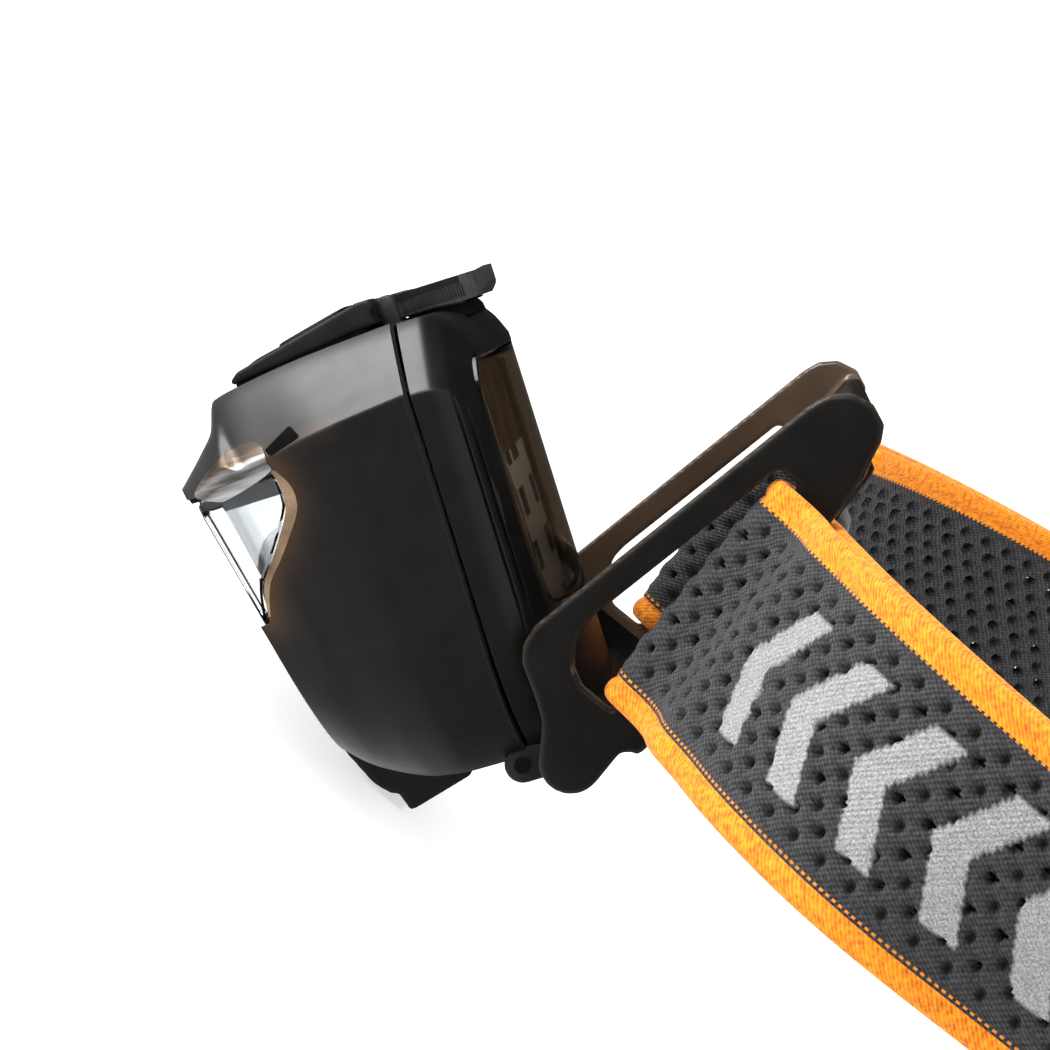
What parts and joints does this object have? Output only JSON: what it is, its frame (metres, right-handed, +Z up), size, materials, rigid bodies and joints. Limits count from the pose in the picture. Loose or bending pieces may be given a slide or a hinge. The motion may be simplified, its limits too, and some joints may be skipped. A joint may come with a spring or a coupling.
{
  "type": "headlamp",
  "caption": "Compact two-beam headlamp with a tilting smoked head, clear lens, hinged battery door, latch, push buttons, charging flap and slotted elastic headband.",
  "frame": {"origin": "centre of the forehead pad's rear face, level with the band's middle", "axes": "+Z up with the band level, -Y forward out of the lamp, +X towards the wearer's left; the lamp is stored tilted fully down"},
  "size_m": [0.1712, 0.256, 0.064],
  "materials": {
    "smoked_plastic": "satin smoked black",
    "smoked_window": "smoked clear",
    "clear_lens": "clear moulded plastic",
    "pad_foam": "soft foam",
    "band_knit": "perforated elastic knit with orange edges",
    "pin_steel": "satin",
    "slider_plastic": "satin",
    "battery_wrap": "heat-shrink wrap",
    "label_paper": "printed label",
    "seal_rubber": "soft",
    "contact_brass": "plated",
    "reflector_chrome": "mirror",
    "led_phosphor": "yellow phosphor under a clear dome",
    "board_metal": "white solder mask",
    "board_green": "circuit board",
    "socket_steel": "plated",
    "inner_plastic": "matt",
    "button_rubber": "moulded ribs"
  },
  "bodies": {
    "frame": {"frame": "smoked_plastic", "forehead_pad": "pad_foam", "headband": "band_knit", "tilt_pin": "pin_steel", "tilt_washer_left": "pin_steel", "tilt_washer_right": "pin_steel"},
    "rear_case": {"rear_case": "smoked_plastic", "rear_window": "smoked_window", "battery_pack": "battery_wrap", "battery_label": "label_paper", "case_seal": "seal_rubber", "door_pin": "pin_steel", "battery_contact_plus": "contact_brass", "battery_contact_minus": "contact_brass"},
    "front_housing": {"front_housing": "smoked_plastic", "front_lens": "clear_lens", "spot_reflector": "reflector_chrome", "flood_reflector": "reflector_chrome", "spot_led": "led_phosphor", "flood_led": "led_phosphor", "led_board": "board_metal", "main_board": "board_green", "usb_socket": "socket_steel", "switch_board": "board_green", "spot_switch": "socket_steel", "flood_switch": "socket_steel", "battery_tray": "inner_plastic", "tray_screw_left_low": "pin_steel", "tray_screw_left_high": "pin_steel", "tray_screw_right_low": "pin_steel", "tray_screw_right_high": "pin_steel", "button_pad": "button_rubber", "latch_pin": "pin_steel"},
    "latch": {"latch": "smoked_plastic"},
    "spot_button": {"spot_button": "button_rubber"},
    "flood_button": {"flood_button": "button_rubber"},
    "usb_cover": {"usb_cover": "button_rubber"},
    "band_slider_left": {"band_slider_left": "slider_plastic"},
    "band_slider_right": {"band_slider_right": "slider_plastic"}
  },
  "joints": [
    {"name": "lamp_tilt", "type": "hinge", "parent": "frame", "child": "rear_case", "pos_m": [0, -0.0078, -0.0195], "axis": [-1, 0, 0], "range_deg": [0, 51]},
    {"name": "door_open", "type": "hinge", "parent": "rear_case", "child": "front_housing", "pos_m": [0, -0.01055, -0.02428], "axis": [1, 0, 0], "range_deg": [0, 90]},
    {"name": "latch_lift", "type": "hinge", "parent": "front_housing", "child": "latch", "pos_m": [0, -0.04803, 0.00045], "axis": [1, 0, 0], "range_deg": [0, 75]},
    {"name": "spot_press", "type": "slide", "parent": "front_housing", "child": "spot_button", "axis": [0, 0.831, -0.5563], "range_m": [0, 0.0005], "stiffness_N_per_m": 600, "springref_m": -0.001},
    {"name": "flood_press", "type": "slide", "parent": "front_housing", "child": "flood_button", "axis": [0, 0.831, -0.5563], "range_m": [0, 0.0005], "stiffness_N_per_m": 600, "springref_m": -0.001},
    {"name": "usb_cover_open", "type": "hinge", "parent": "front_housing", "child": "usb_cover", "pos_m": [0, -0.01375, -0.03068], "axis": [1, 0, 0], "range_deg": [0, 70]},
    {"name": "slider_left", "type": "slide", "parent": "frame", "child": "band_slider_left", "axis": [0, 1, 0], "range_m": [-0.008, 0.008]},
    {"name": "slider_right", "type": "slide", "parent": "frame", "child": "band_slider_right", "axis": [0, 1, 0], "range_m": [-0.008, 0.008]}
  ]
}
